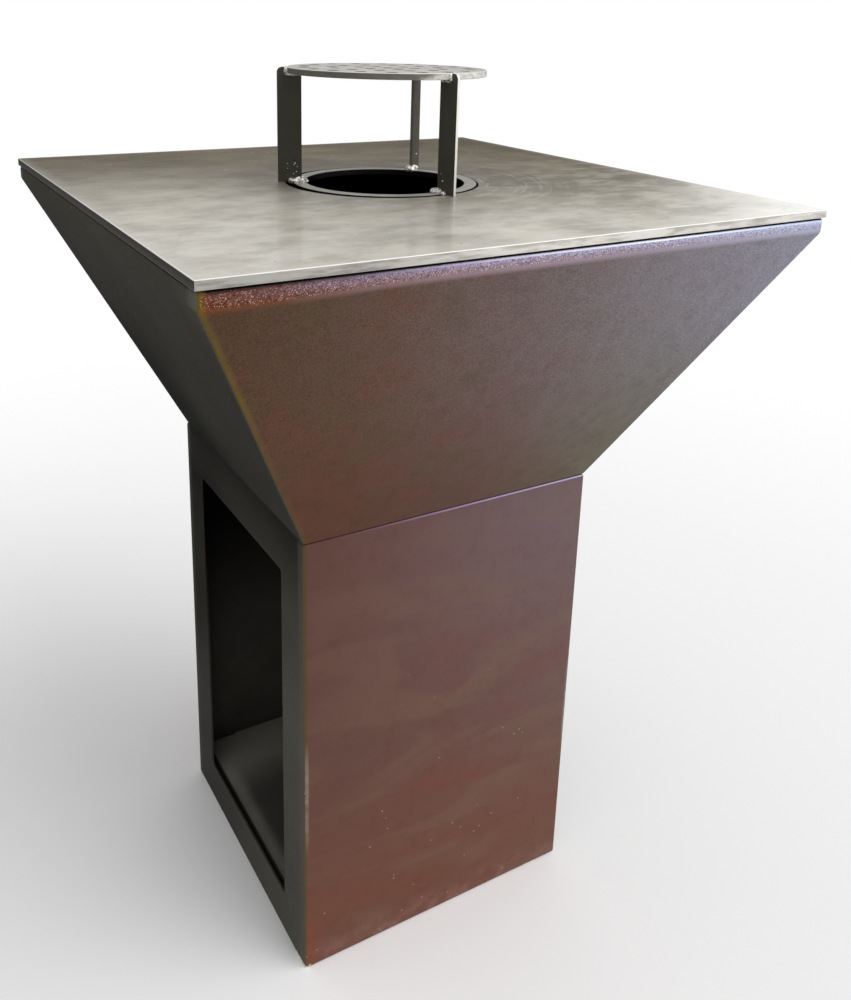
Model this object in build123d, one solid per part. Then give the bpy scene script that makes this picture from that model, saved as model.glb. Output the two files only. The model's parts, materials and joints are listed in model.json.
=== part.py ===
from build123d import *
import os
from math import atan2, cos, pi, radians, sin, tan

# Wood-fired griddle: a square plate on an inverted-pyramid fire bowl, on a pedestal that stores the wood.
# Millimetres. +Z is up, the origin is on the floor under the middle of the pedestal. The closed front faces
# -Y and the open side of the wood store faces -X.

# Griddle plate
plate_side = 800
plate_thickness = 10
plate_overhang = 1.5
lug_length = 60
lug_thickness = 6
lug_height = 15
lug_clearance = 2
hole_offset = 3

# Pedestal
pedestal_side = 430
pedestal_height = 650
sheet = 3
bend_inside = 2
flange_width = 30
door_margin = 68
door_corner = 5
storage_floor_height = 58
storage_floor_gap = 6
storage_floor_clip = 14
angle_leg = 25
angle_length = 300

# Fire bowl
bowl_height = 380
bowl_seam = 1.5
rim_height = 18
rim_bend = 8
rim_flange = 25
bowl_floor_thickness = 4
throat_side = 200

# Bolts between bowl and pedestal
bolt_diameter = 8
bolt_clearance = 0.5
bolt_spare = 4
thread_clearance = 0.1
hex_across_flats = 13
bolt_head_height = 5.3
nut_height = 6.5
washer_diameter = 16
washer_thickness = 1.6

# Riser in the plate's hole
riser_height = 150
ring_diameter = 250
ring_width = 17
ring_thickness = 8
ring_clearance = 6
ring_side_gap = 0.5
riser_lean_angle = 15
leg_thickness = 4
leg_overlap = 12
leg_upstand = 13
leg_corner = 7
foot_bearing = 8.5
rear_leg_angle = 41
left_leg_angle = 160
right_leg_angle = 278
grille_thickness = 8
grille_hole = 15
grille_hole_pitch = 37
grille_first_ring = 6
grille_hole_angle = 24
grille_edge = 12
weld_size = 5
weld_end = 1

# Fire grate
grate_side = 300
grate_bar = 12
grate_bar_count = 13
cross_bar_width = 20
cross_bar_thickness = 6
cross_bar_spacing = 230
grate_foot_spacing = 240
grate_foot_height = 36

# Ash pan and its runners
pan_sheet = 1.5
pan_length = 300
pan_depth = 40
pan_flange = 19
pan_clearance = 3
pan_stop_gap = 0.5
runner_lip = 20
runner_head = 25
runner_setback = 1
runner_end_gap = 2
stop_height = 10
handle_rod = 8
handle_span = 110
handle_reach = 32
handle_bend = 14

# Places worked out from the sizes above
pedestal_half = pedestal_side / 2
wall_half = pedestal_half - sheet
bend_outside = bend_inside + sheet
door_half = pedestal_half - door_margin
door_bottom = door_margin
door_top = pedestal_height - door_margin
bolt_line = pedestal_half - (sheet + flange_width) / 2
bolt_hole = bolt_diameter + 2 * bolt_clearance

bowl_low = pedestal_height + bowl_seam
bowl_top = pedestal_height + bowl_height
rim_low = bowl_top - rim_height
rim_half = plate_side / 2 - plate_overhang
bowl_slant = atan2(rim_half - pedestal_half, rim_low - bowl_low)
bowl_floor_top = pedestal_height + bowl_floor_thickness

plate_top = bowl_top + plate_thickness
ring_radius = ring_diameter / 2
ring_inner_radius = ring_radius - ring_width
hole_radius = ring_radius + ring_clearance
riser_lean = ring_clearance - ring_side_gap
leg_inner_radius = ring_radius - leg_overlap
leg_outer_radius = hole_radius + riser_lean + foot_bearing
leg_angles = (rear_leg_angle, left_leg_angle, right_leg_angle)
grille_radius = leg_outer_radius - leg_upstand
grille_top = plate_top + riser_height
grille_low = grille_top - grille_thickness

cross_bar_low = bowl_floor_top + grate_foot_height
grate_bar_low = cross_bar_low + cross_bar_width

pan_top = door_top - pan_clearance
pan_low = pan_top - pan_depth
pan_flange_half = door_half - pan_clearance
tray_half = pan_flange_half - pan_flange
pan_half_length = pan_length / 2
runner_inner = door_half + runner_setback
runner_outer = runner_inner + sheet
runner_lip_top = pan_top - pan_sheet
runner_front = pedestal_half - flange_width - runner_end_gap
runner_back = pan_half_length + pan_stop_gap + sheet

FRONT, LEFT, BACK, RIGHT = 0, -90, 180, 90
near = 1e-3
overshoot = 5


def block(x0, x1, y0, y1, z0, z1):
    """A box between two corners."""
    middle = Pos((x0 + x1) / 2, (y0 + y1) / 2, (z0 + z1) / 2)
    return middle * Box(x1 - x0, y1 - y0, z1 - z0)


def square_block(half, z0, z1):
    """A box centred on the upright axis."""
    return block(-half, half, -half, half, z0, z1)


def disc(radius, z0, z1, x=0, y=0):
    """An upright cylinder."""
    return Pos(x, y, (z0 + z1) / 2) * Cylinder(radius, z1 - z0)


def hexagon(across_flats, z0, z1, x, y):
    """An upright hexagonal prism, for a bolt head or a nut."""
    return Pos(x, y, z0) * extrude(RegularPolygon(across_flats / 2, 6, major_radius=False), z1 - z0)


def side_wedge(turn):
    """The quarter of space that one of the four sides takes up, out to the mitres at its corners."""
    reach = plate_side
    corner = Polygon((0, 0), (reach, -reach), (-reach, -reach), align=None)
    return Rot(0, 0, turn) * extrude(corner, 2 * plate_top, dir=(0, 0, 1))


def four_sides(shell):
    """A square shell cut at its mitres into front, back, left and right panels."""
    return [shell & side_wedge(turn) for turn in (FRONT, BACK, LEFT, RIGHT)]


# Pedestal
def pedestal_shell():
    """Square tube with rounded edges, and inward flanges at its top and foot."""
    outside = square_block(pedestal_half, 0, pedestal_height)
    outside = fillet(outside.edges(), bend_outside)
    inside = square_block(wall_half, sheet, pedestal_height - sheet)
    inside = fillet(inside.edges(), bend_inside)
    between_flanges = square_block(pedestal_half - flange_width, -overshoot, pedestal_height + overshoot)
    shell = outside - inside - between_flanges
    for x, y in bolt_places():
        shell -= disc(bolt_hole / 2, pedestal_height - sheet - overshoot, pedestal_height + overshoot, x, y)
    return shell


def door_cut():
    """The wood store's opening, through the left side."""
    outer = -pedestal_half - overshoot
    inner = overshoot - wall_half
    cut = block(outer, inner, -door_half, door_half, door_bottom, door_top)
    return fillet(cut.edges().filter_by(Axis.X), door_corner)


def storage_floor():
    half = wall_half - storage_floor_gap
    plate = square_block(half, storage_floor_height - sheet, storage_floor_height)
    return chamfer(plate.edges().filter_by(Axis.Z), storage_floor_clip)


def storage_floor_angles():
    """One angle on the front wall and one on the back wall, under the floor."""
    seat = storage_floor_height - sheet
    low = seat - angle_leg
    half = angle_length / 2
    upright = block(-half, half, wall_half - sheet, wall_half, low, seat)
    ledge = block(-half, half, wall_half - angle_leg, wall_half, seat - sheet, seat)
    angle = upright + ledge
    return [angle, Rot(0, 0, 180) * angle]


# Fire bowl
def bowl_half_at(z):
    """Half the bowl's outside width where its slope passes a height."""
    return pedestal_half + (z - bowl_low) * tan(bowl_slant)


def bowl_envelope(inset, low, top):
    """The bowl's form, set in from its outside by a wall thickness."""
    bottom = bowl_half_at(low) - inset / cos(bowl_slant)
    upright = rim_half - inset
    bend = rim_low + inset * tan(bowl_slant / 2)
    right = [(bottom, low), (upright, bend), (upright, top)]
    left = [(-x, z) for x, z in reversed(right)]
    profile = Polygon(*right, *left, align=None)
    bend_corners = [vertex for vertex in profile.vertices() if abs(vertex.Y - bend) < near]
    profile = fillet(bend_corners, rim_bend - inset)
    prism = extrude(Plane.XZ * profile, plate_side, both=True)
    return prism & (Rot(0, 0, 90) * prism)


def on_corner(edge):
    middle = edge.center()
    return abs(abs(middle.X) - abs(middle.Y)) < near


def bowl_shell():
    """Sloping walls with an upright rim, and an inward flange that the plate lies on."""
    outside = bowl_envelope(0, bowl_low, bowl_top)
    outside = fillet(outside.edges().filter_by(on_corner), bend_outside)
    outside = fillet(outside.faces().sort_by(Axis.Z)[-1].edges(), bend_outside)
    inside = bowl_envelope(sheet, pedestal_height, bowl_top - sheet)
    mouth = square_block(rim_half - rim_flange, rim_low, bowl_top + overshoot)
    return outside - inside - mouth


def bowl_floor():
    """Floor welded between the walls, with the opening that feeds air and drops ash."""
    floor = bowl_envelope(sheet, pedestal_height, bowl_top)
    floor &= square_block(plate_side, pedestal_height, bowl_floor_top)
    floor -= square_block(throat_side / 2, pedestal_height - overshoot, bowl_floor_top + overshoot)
    for x, y in bolt_places():
        floor -= disc(bolt_hole / 2, pedestal_height - overshoot, bowl_floor_top + overshoot, x, y)
    return floor


# Bolts between bowl and pedestal
def bolt_places():
    """One bolt in the middle of each side's flange."""
    return [(bolt_line * cos(radians(turn)), bolt_line * sin(radians(turn))) for turn in (0, 90, 180, 270)]


def bowl_bolt(x, y):
    tip = pedestal_height - sheet - washer_thickness - nut_height - bolt_spare
    head = hexagon(hex_across_flats, bowl_floor_top, bowl_floor_top + bolt_head_height, x, y)
    return head + disc(bolt_diameter / 2, tip, bowl_floor_top, x, y)


def bowl_washer(x, y):
    top = pedestal_height - sheet
    low = top - washer_thickness
    hole = disc(bolt_hole / 2, low - overshoot, top + overshoot, x, y)
    return disc(washer_diameter / 2, low, top, x, y) - hole


def bowl_nut(x, y):
    top = pedestal_height - sheet - washer_thickness
    low = top - nut_height
    bore = bolt_diameter / 2 + thread_clearance
    return hexagon(hex_across_flats, low, top, x, y) - disc(bore, low - overshoot, top + overshoot, x, y)


# Griddle plate
def griddle_plate():
    plate = square_block(plate_side / 2, bowl_top, plate_top)
    return plate - disc(hole_radius, bowl_top - overshoot, plate_top + overshoot, hole_offset)


def plate_locating_lugs():
    """Four bars under the plate, just inside the bowl's rim flange."""
    outer = rim_half - rim_flange - lug_clearance
    half = lug_length / 2
    lug = block(-half, half, outer - lug_thickness, outer, bowl_top - lug_height, bowl_top)
    return [Rot(0, 0, turn) * lug for turn in (FRONT, LEFT, BACK, RIGHT)]


# Riser, built about its own axis and then laid against one side of the plate's hole
def riser_place():
    turn = radians(riser_lean_angle)
    return Pos(hole_offset + riser_lean * cos(turn), riser_lean * sin(turn), 0)


def riser_ring():
    low = plate_top - ring_thickness
    ring = disc(ring_radius, low, plate_top)
    ring -= disc(ring_inner_radius, low - overshoot, plate_top + overshoot)
    return riser_place() * ring


def riser_leg(angle):
    """Flat bar on edge along the radius, with a step at its top for the disc."""
    outline = Polygon(
        (leg_inner_radius, plate_top),
        (leg_outer_radius, plate_top),
        (leg_outer_radius, grille_top),
        (grille_radius, grille_top),
        (grille_radius, grille_low),
        (leg_inner_radius, grille_low),
        align=None,
    )
    top_corner = outline.vertices().sort_by(Axis.X)[-2:].sort_by(Axis.Y)[-1]
    outline = fillet(top_corner, leg_corner)
    bar = extrude(Plane.XZ * outline, leg_thickness / 2, both=True)
    return riser_place() * Rot(0, 0, angle) * bar


def grille_hole_places():
    """Rings of holes round one in the middle, each with as many more holes as the first ring has."""
    places = [(0, 0)]
    ring_count = int((grille_radius - grille_edge - grille_hole / 2) // grille_hole_pitch)
    for ring in range(1, ring_count + 1):
        hole_count = grille_first_ring * ring
        for step in range(hole_count):
            turn = radians(grille_hole_angle) + step * 2 * pi / hole_count
            places.append((ring * grille_hole_pitch * cos(turn), ring * grille_hole_pitch * sin(turn)))
    return places


def riser_grille():
    low = grille_low - overshoot
    top = grille_top + overshoot
    holes = [disc(grille_hole / 2, low, top, x, y) for x, y in grille_hole_places()]
    return riser_place() * (disc(grille_radius, grille_low, grille_top) - holes)


def leg_welds(start, end, height, rise):
    """Fillet welds along both faces of every leg, from a start to an end radius."""
    face = leg_thickness / 2
    bead = Polygon((face, height), (face + weld_size, height), (face, height + rise), align=None)
    bar = Pos(start, 0, 0) * extrude(Plane.YZ * bead, end - start, dir=(1, 0, 0))
    both = [bar, mirror(bar, about=Plane.XZ)]
    return [riser_place() * Rot(0, 0, angle) * weld for angle in leg_angles for weld in both]


def riser_foot_welds():
    return leg_welds(leg_inner_radius + weld_end, ring_radius - weld_end, plate_top, weld_size)


def riser_top_welds():
    return leg_welds(leg_inner_radius + weld_end, grille_radius - weld_end, grille_low, -weld_size)


# Fire grate
def grate_bars():
    half = grate_side / 2
    pitch = (grate_side - grate_bar) / (grate_bar_count - 1)
    bar = block(-half, half, -half, grate_bar - half, grate_bar_low, grate_bar_low + grate_bar)
    return [Pos(0, index * pitch, 0) * bar for index in range(grate_bar_count)]


def grate_cross_bars():
    half = grate_side / 2
    x = cross_bar_spacing / 2
    bar = block(-cross_bar_thickness / 2, cross_bar_thickness / 2, -half, half, cross_bar_low, grate_bar_low)
    return [Pos(side * x, 0, 0) * bar for side in (-1, 1)]


def grate_feet():
    """Short upright bars under the cross bars."""
    x = cross_bar_spacing / 2
    y = grate_foot_spacing / 2
    half_t = cross_bar_thickness / 2
    half_w = cross_bar_width / 2
    foot = block(-half_t, half_t, -half_w, half_w, bowl_floor_top, cross_bar_low)
    return [Pos(side_x * x, side_y * y, 0) * foot for side_x in (-1, 1) for side_y in (-1, 1)]


# Ash pan and its runners
def ash_pan_tray():
    """Open tray with a flange along each side, which slides on the runners."""
    tray = block(-pan_half_length, pan_half_length, -tray_half, tray_half, pan_low, pan_top)
    flange_low = pan_top - pan_sheet
    tray += block(-pan_half_length, pan_half_length, -pan_flange_half, pan_flange_half, flange_low, pan_top)
    inner_x = pan_half_length - pan_sheet
    inner_y = tray_half - pan_sheet
    return tray - block(-inner_x, inner_x, -inner_y, inner_y, pan_low + pan_sheet, pan_top + overshoot)


def ash_pan_handle():
    """Bent rod on the tray's front."""
    half = handle_span / 2
    height = (pan_low + pan_top) / 2
    tray_front = -pan_half_length
    grip = tray_front - handle_reach
    path = FilletPolyline(
        (tray_front, -half, height),
        (grip, -half, height),
        (grip, half, height),
        (tray_front, half, height),
        radius=handle_bend,
    )
    section = Plane(origin=(tray_front, -half, height), z_dir=(-1, 0, 0)) * Circle(handle_rod / 2)
    return sweep(section, path=path)


def pan_runner(side):
    """Channel under the bowl floor: its lower lip carries the pan, and a tab at its back end stops it."""
    low = runner_lip_top - sheet
    web = block(-runner_front, runner_back, runner_inner, runner_outer, low, pedestal_height)
    head_y = runner_outer - runner_head
    head = block(-runner_front, runner_back, head_y, runner_outer, pedestal_height - sheet, pedestal_height)
    lip_y = runner_inner - runner_lip
    lip = block(-runner_front, runner_back, lip_y, runner_outer, low, runner_lip_top)
    stop = block(runner_back - sheet, runner_back, lip_y, runner_outer, low, runner_lip_top + stop_height)
    runner = web + head + lip + stop
    return runner if side > 0 else mirror(runner, about=Plane.XZ)


def group(solids):
    """Separate solids that share one node."""
    return Compound(children=[solid for shape in solids for solid in shape.solids()])


pedestal_front, pedestal_back, pedestal_left, pedestal_right = four_sides(pedestal_shell())
bowl_front, bowl_back, bowl_left, bowl_right = four_sides(bowl_shell())

parts = {
    "pedestal_front_panel": pedestal_front,
    "pedestal_back_panel": pedestal_back,
    "pedestal_left_panel": pedestal_left - door_cut(),
    "pedestal_right_panel": pedestal_right,
    "storage_floor": storage_floor(),
    "storage_floor_angles": group(storage_floor_angles()),
    "bowl_front_panel": bowl_front,
    "bowl_back_panel": bowl_back,
    "bowl_left_panel": bowl_left,
    "bowl_right_panel": bowl_right,
    "bowl_floor": bowl_floor(),
    "bowl_bolts": group(bowl_bolt(x, y) for x, y in bolt_places()),
    "bowl_washers": group(bowl_washer(x, y) for x, y in bolt_places()),
    "bowl_nuts": group(bowl_nut(x, y) for x, y in bolt_places()),
    "pan_runner_front": pan_runner(-1),
    "pan_runner_back": pan_runner(1),
    "griddle_plate": griddle_plate(),
    "plate_locating_lugs": group(plate_locating_lugs()),
    "riser_ring": riser_ring(),
    "riser_leg_rear": riser_leg(rear_leg_angle),
    "riser_leg_left": riser_leg(left_leg_angle),
    "riser_leg_right": riser_leg(right_leg_angle),
    "riser_grille": riser_grille(),
    "riser_foot_welds": group(riser_foot_welds()),
    "riser_top_welds": group(riser_top_welds()),
    "grate_bars": group(grate_bars()),
    "grate_cross_bars": group(grate_cross_bars()),
    "grate_feet": group(grate_feet()),
    "ash_pan_tray": ash_pan_tray(),
    "ash_pan_handle": ash_pan_handle(),
}

os.makedirs("parts", exist_ok=True)
for name, shape in parts.items():
    export_step(shape, f"parts/{name}.step")
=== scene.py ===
import itertools
import json
import math
import random

import bmesh
import bpy
from mathutils import Matrix, Vector, noise

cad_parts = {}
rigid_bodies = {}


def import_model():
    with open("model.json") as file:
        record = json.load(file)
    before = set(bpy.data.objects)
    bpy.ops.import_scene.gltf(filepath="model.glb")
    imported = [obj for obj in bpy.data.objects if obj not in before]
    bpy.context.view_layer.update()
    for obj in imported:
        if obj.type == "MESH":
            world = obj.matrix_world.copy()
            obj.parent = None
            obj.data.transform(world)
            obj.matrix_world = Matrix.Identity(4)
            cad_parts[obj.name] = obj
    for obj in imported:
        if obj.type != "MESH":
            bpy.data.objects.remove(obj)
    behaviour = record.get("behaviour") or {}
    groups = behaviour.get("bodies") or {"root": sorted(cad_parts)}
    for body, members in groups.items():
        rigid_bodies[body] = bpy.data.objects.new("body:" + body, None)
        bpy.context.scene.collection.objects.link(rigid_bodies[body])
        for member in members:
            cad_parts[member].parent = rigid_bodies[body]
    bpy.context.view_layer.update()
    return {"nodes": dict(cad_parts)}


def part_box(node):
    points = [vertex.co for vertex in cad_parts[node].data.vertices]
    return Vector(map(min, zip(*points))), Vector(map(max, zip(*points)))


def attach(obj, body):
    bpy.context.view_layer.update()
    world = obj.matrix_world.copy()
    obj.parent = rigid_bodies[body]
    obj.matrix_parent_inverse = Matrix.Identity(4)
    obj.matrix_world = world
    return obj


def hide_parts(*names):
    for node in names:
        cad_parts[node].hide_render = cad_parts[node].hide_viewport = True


# The looks of a wood-fired griddle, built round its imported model. Metres, in the part's own frame: +Z is
# up, the closed front faces -Y and the open side of the wood store faces -X.

for leftover in list(bpy.data.objects):
    bpy.data.objects.remove(leftover)

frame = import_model()
nodes = frame["nodes"]

# Camera, set from the photograph's corners in an image of this size
image_width = 851
image_height = 1000
principal_x = 385
principal_y = 310
focal_pixels = 1002.4
sensor = 36
camera_place = (-0.661, -1.184, 1.255)
camera_heading = -29.62
camera_dip = 16.32
camera_roll = 1.13

# Light
sky_strength = 0.62
sun_strength = 1.6
sun_spread = 60
sun_from = (0.46, -0.55, 0.69)
surround_radius = 0.66
surround_height = 1.7
surround_steps = 64
window_middle = math.radians(144)
window_half = math.radians(56)
window_edge = math.radians(14)
window_level = 1.3
wall_level = 0.12
wall_top = 1.25
wall_edge = 0.1
floor_reach = 40
floor_fade_start = 1.0
floor_fade_end = 2.6
floor_colour = (0.96, 0.96, 0.96, 1)
floor_roughness = 0.9

# Places that the finishes follow. The rim is as high as the CAD makes it
plate_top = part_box("griddle_plate")[1].z
plate_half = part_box("griddle_plate")[1].x
bowl_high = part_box("bowl_front_panel")[1]
pedestal_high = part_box("pedestal_front_panel")[1]
rim_half = bowl_high.x
rim_height = 0.018
rim_low = bowl_high.z - rim_height
pedestal_half = pedestal_high.x
pedestal_top = pedestal_high.z
seam_edge = 0.0005
rim_edge = 0.003
# Heights over which painted shade turns the inside of the sheet near black
inside_shade_start = 0.16
inside_shade_end = 0.52
lintel_low = 0.56
lintel_high = 0.64
pale_line_height = 0.28
stain_offset = Vector((0.11, -0.095, 0))
stain_tint = (0.79, 0.775, 0.74, 1)

# Grain of the finishes. Noise about 0.5 seldom leaves the range between its low and its high value
noise_low = 0.3
noise_high = 0.7
pebble_size = 0.0026
pebble_cloud_size = 0.008
copper_pebble_depth = 0.0004
dark_pebble_depth = 0.0003
copper_grain_size = 0.002
dark_grain_size = 0.0024
glint_size = 0.0011
chip_size = 0.004
wipe_width = 0.007
wipe_stretch = 9
plate_gloss = 0.22
plate_gloss_roughness = 0.1

# Riser. Half a leg's thickness is the CAD's
ring_low, ring_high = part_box("riser_ring")
ring_centre = (ring_low + ring_high) / 2
ring_radius = (ring_high.x - ring_low.x) / 2
grille_low, grille_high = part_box("riser_grille")
grille_radius = (grille_high.x - grille_low.x) / 2
leg_names = ("riser_leg_rear", "riser_leg_left", "riser_leg_right")
leg_half = 0.002

# Weld beads and spatter on the riser: rows of drops along the legs' feet and tops
foot_seed = 11
top_seed = 23
spatter_seed = 5
bead_voxel = 0.0005
bead_ripple = 0.0004
bead_ripple_size = 0.0016
bead_settling = 2
bead_radius = 0.0044
bead_step = 0.0021
foot_bead_length = 0.014
foot_bead_lead = 0.005
foot_bead_lift = 0.001
foot_bead_stray = 0.002
foot_bead_heights = (-0.0005, 0.001)
foot_bead_sizes = (0.7, 1.15)
foot_bead_flat = 0.95
upper_bead_rise = 0.003
upper_bead_length = foot_bead_length * 0.6
upper_bead_share = 0.65
toe_bead_sides = (-0.8, 0.1, 0.9)
toe_bead_drop = 0.0006
toe_bead_sizes = (0.8, 1.1)
toe_bead_flat = 0.8
top_bead_length = 0.012
top_bead_gap = 0.0006
top_bead_drop = 0.0008
top_bead_sizes = (0.7, 0.95)
top_bead_flat = 0.85
rim_bead_start = 0.001
rim_bead_end = 0.002
spatter_counts = {"riser_leg_left": 7, "riser_leg_rear": 2, "riser_leg_right": 2}
spatter_reaches = (0.006, 0.02)
spatter_heights = (0.008, 0.026)
spatter_sizes = (0.0006, 0.0013)

# Eased edges: bevel widths, on edges sharper than an angle
merge_distance = 1e-6
sharp_angle = math.radians(32)
eased_segments = 2
eased = {
    "griddle_plate": 0.001,
    "riser_ring": 0.0006,
    "riser_grille": 0.0008,
    "riser_leg_rear": 0.0004,
    "riser_leg_left": 0.0004,
    "riser_leg_right": 0.0004,
    "storage_floor": 0.0004,
    "grate_bars": 0.0008,
    "grate_cross_bars": 0.0005,
    "grate_feet": 0.0005,
    "ash_pan_tray": 0.0003,
    "pan_runner_front": 0.0004,
    "pan_runner_back": 0.0004,
    "bowl_bolts": 0.0004,
    "bowl_nuts": 0.0004,
    "plate_locating_lugs": 0.0005,
}


# Camera, light and floor
def make_camera():
    data = bpy.data.cameras.new("camera")
    data.sensor_width = sensor
    data.lens = focal_pixels / image_height * sensor
    data.shift_x = (image_width / 2 - principal_x) / image_height
    data.shift_y = (principal_y - image_height / 2) / image_height
    camera = bpy.data.objects.new("camera", data)
    heading = Matrix.Rotation(math.radians(camera_heading), 4, "Z")
    dip = Matrix.Rotation(math.radians(90 - camera_dip), 4, "X")
    roll = Matrix.Rotation(math.radians(camera_roll), 4, "Z")
    camera.matrix_world = Matrix.Translation(camera_place) @ heading @ dip @ roll
    bpy.context.scene.collection.objects.link(camera)
    bpy.context.scene.camera = camera


def seen_directly(tree):
    """1 for what the camera, a mirror or glass shows of the background, and 0 for light on matt surfaces."""
    path = tree.nodes.new("ShaderNodeLightPath")
    seen = path.outputs["Is Camera Ray"]
    for kind in ("Is Glossy Ray", "Is Transmission Ray"):
        either = tree.nodes.new("ShaderNodeMath")
        either.operation = "MAXIMUM"
        tree.links.new(seen, either.inputs[0])
        tree.links.new(path.outputs[kind], either.inputs[1])
        seen = either.outputs[0]
    return seen


def make_world():
    world = bpy.data.worlds.new("studio")
    world.use_nodes = True
    tree = world.node_tree
    background = tree.nodes["Background"]
    background.inputs["Color"].default_value = (1, 1, 1, 1)
    level = tree.nodes.new("ShaderNodeMapRange")
    level.inputs["To Min"].default_value = sky_strength
    level.inputs["To Max"].default_value = 1
    tree.links.new(seen_directly(tree), level.inputs["Value"])
    tree.links.new(level.outputs["Result"], background.inputs["Strength"])
    bpy.context.scene.world = world


def make_sun():
    data = bpy.data.lights.new("sun", "SUN")
    data.energy = sun_strength
    data.angle = math.radians(sun_spread)
    sun = bpy.data.objects.new("sun", data)
    sun.rotation_mode = "QUATERNION"
    sun.rotation_quaternion = Vector(sun_from).to_track_quat("Z", "Y")
    bpy.context.scene.collection.objects.link(sun)


def make_surround():
    """Round the object, a dark wall with a bright window at the right, which only shows as a reflection."""
    points = []
    for step in range(surround_steps):
        turn = 2 * math.pi * step / surround_steps
        foot = (surround_radius * math.sin(turn), surround_radius * math.cos(turn))
        points += [(*foot, 0), (*foot, surround_height)]
    count = len(points)
    faces = [(i, i + 1, (i + 3) % count, (i + 2) % count) for i in range(0, count, 2)]
    data = bpy.data.meshes.new("surround")
    data.from_pydata(points, [], faces)
    surround = bpy.data.objects.new("surround", data)
    bpy.context.scene.collection.objects.link(surround)
    surround.visible_camera = False
    surround.visible_diffuse = False
    surround.visible_transmission = False
    surround.visible_shadow = False
    f = Finish("surround")
    from_window = f.absolute(f.minus(f.math("ARCTAN2", f.x, f.y), window_middle))
    window = f.fade(from_window, window_half + window_edge, window_half - window_edge)
    wall = f.fade(f.z, wall_top - wall_edge, wall_top + wall_edge, wall_level, 1.0)
    light = f.nodes.new("ShaderNodeEmission")
    level = f.plus(f.times(f.minus(1.0, window), wall), f.times(window, window_level))
    f.put(light.inputs["Strength"], level)
    f.put(f.nodes["Material Output"].inputs["Surface"], light.outputs[0])
    data.materials.append(f.material)


def make_floor():
    """Pale floor that keeps the shadow near the object and runs out into the white background."""
    data = bpy.data.meshes.new("floor")
    corners = [(-floor_reach, -floor_reach, 0), (floor_reach, -floor_reach, 0)]
    corners += [(floor_reach, floor_reach, 0), (-floor_reach, floor_reach, 0)]
    data.from_pydata(corners, [], [(0, 1, 2, 3)])
    floor = bpy.data.objects.new("floor", data)
    bpy.context.scene.collection.objects.link(floor)
    finish = Finish("floor")
    finish.finish(floor_colour, 0.0, floor_roughness, specular=0.0)
    distance = finish.vector("LENGTH", finish.place)
    fade = finish.fade(distance.outputs["Value"], floor_fade_start, floor_fade_end)
    white = finish.nodes.new("ShaderNodeEmission")
    blend = finish.nodes.new("ShaderNodeMixShader")
    finish.put(blend.inputs[0], finish.times(fade, seen_directly(finish.material.node_tree)))
    finish.put(blend.inputs[1], finish.shader.outputs[0])
    finish.put(blend.inputs[2], white.outputs[0])
    finish.put(finish.nodes["Material Output"].inputs["Surface"], blend.outputs[0])
    data.materials.append(finish.material)


# Node graphs
def paint(red, green, blue):
    """A colour in 0-255 screen values, as the linear values that shaders take."""
    shares = [value / 255 for value in (red, green, blue)]
    linear = [s / 12.92 if s <= 0.04045 else ((s + 0.055) / 1.055) ** 2.4 for s in shares]
    return (*linear, 1)


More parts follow.
